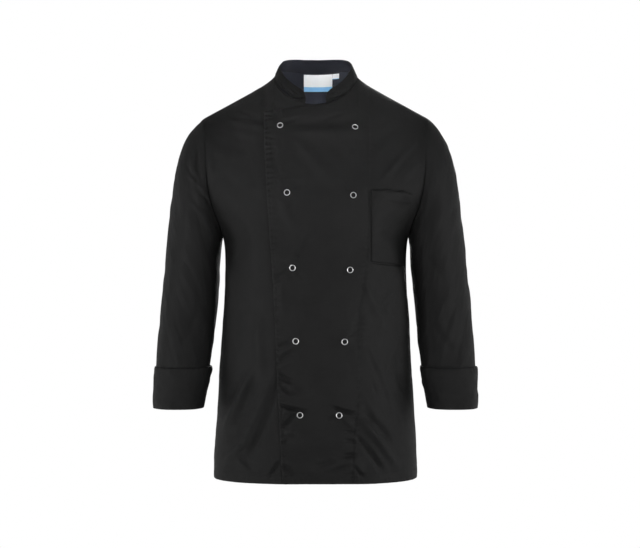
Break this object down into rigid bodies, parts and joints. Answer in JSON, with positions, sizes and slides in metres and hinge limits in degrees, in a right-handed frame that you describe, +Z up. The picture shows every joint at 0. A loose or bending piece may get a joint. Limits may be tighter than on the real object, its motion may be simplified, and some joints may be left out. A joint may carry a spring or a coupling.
{
  "type": "chef jacket",
  "caption": "Long-sleeved double-breasted chef jacket with ring press studs, stand collar, chest pocket and turned-up cuffs, filled out as worn but empty.",
  "frame": {"origin": "middle of the neck opening at the height of the shoulder seams, where a wearer's neck and shoulders hold the jacket", "axes": "+Z up, the front faces -Y and the wearer's left is +X"},
  "size_m": [0.6006, 0.2586, 0.787],
  "materials": {
    "black_twill": "matte twill",
    "navy_lining": "matte plain weave",
    "label_tape": "smooth woven tape",
    "stud_metal": "polished"
  },
  "bodies": {
    "root": {"front_left": "black_twill", "front_right": "black_twill", "back": "black_twill", "sleeve_left": "black_twill", "sleeve_right": "black_twill", "cuff_left": "black_twill", "cuff_right": "black_twill", "collar": "black_twill", "chest_pocket": "black_twill", "collar_lining": "navy_lining", "neck_facing": "navy_lining", "neck_label": "label_tape", "size_tag": "label_tape", "stud_left_1": "stud_metal", "stud_left_2": "stud_metal", "stud_left_3": "stud_metal", "stud_left_4": "stud_metal", "stud_left_5": "stud_metal", "stud_right_1": "stud_metal", "stud_right_2": "stud_metal", "stud_right_3": "stud_metal", "stud_right_4": "stud_metal", "stud_right_5": "stud_metal"}
  },
  "joints": []
}
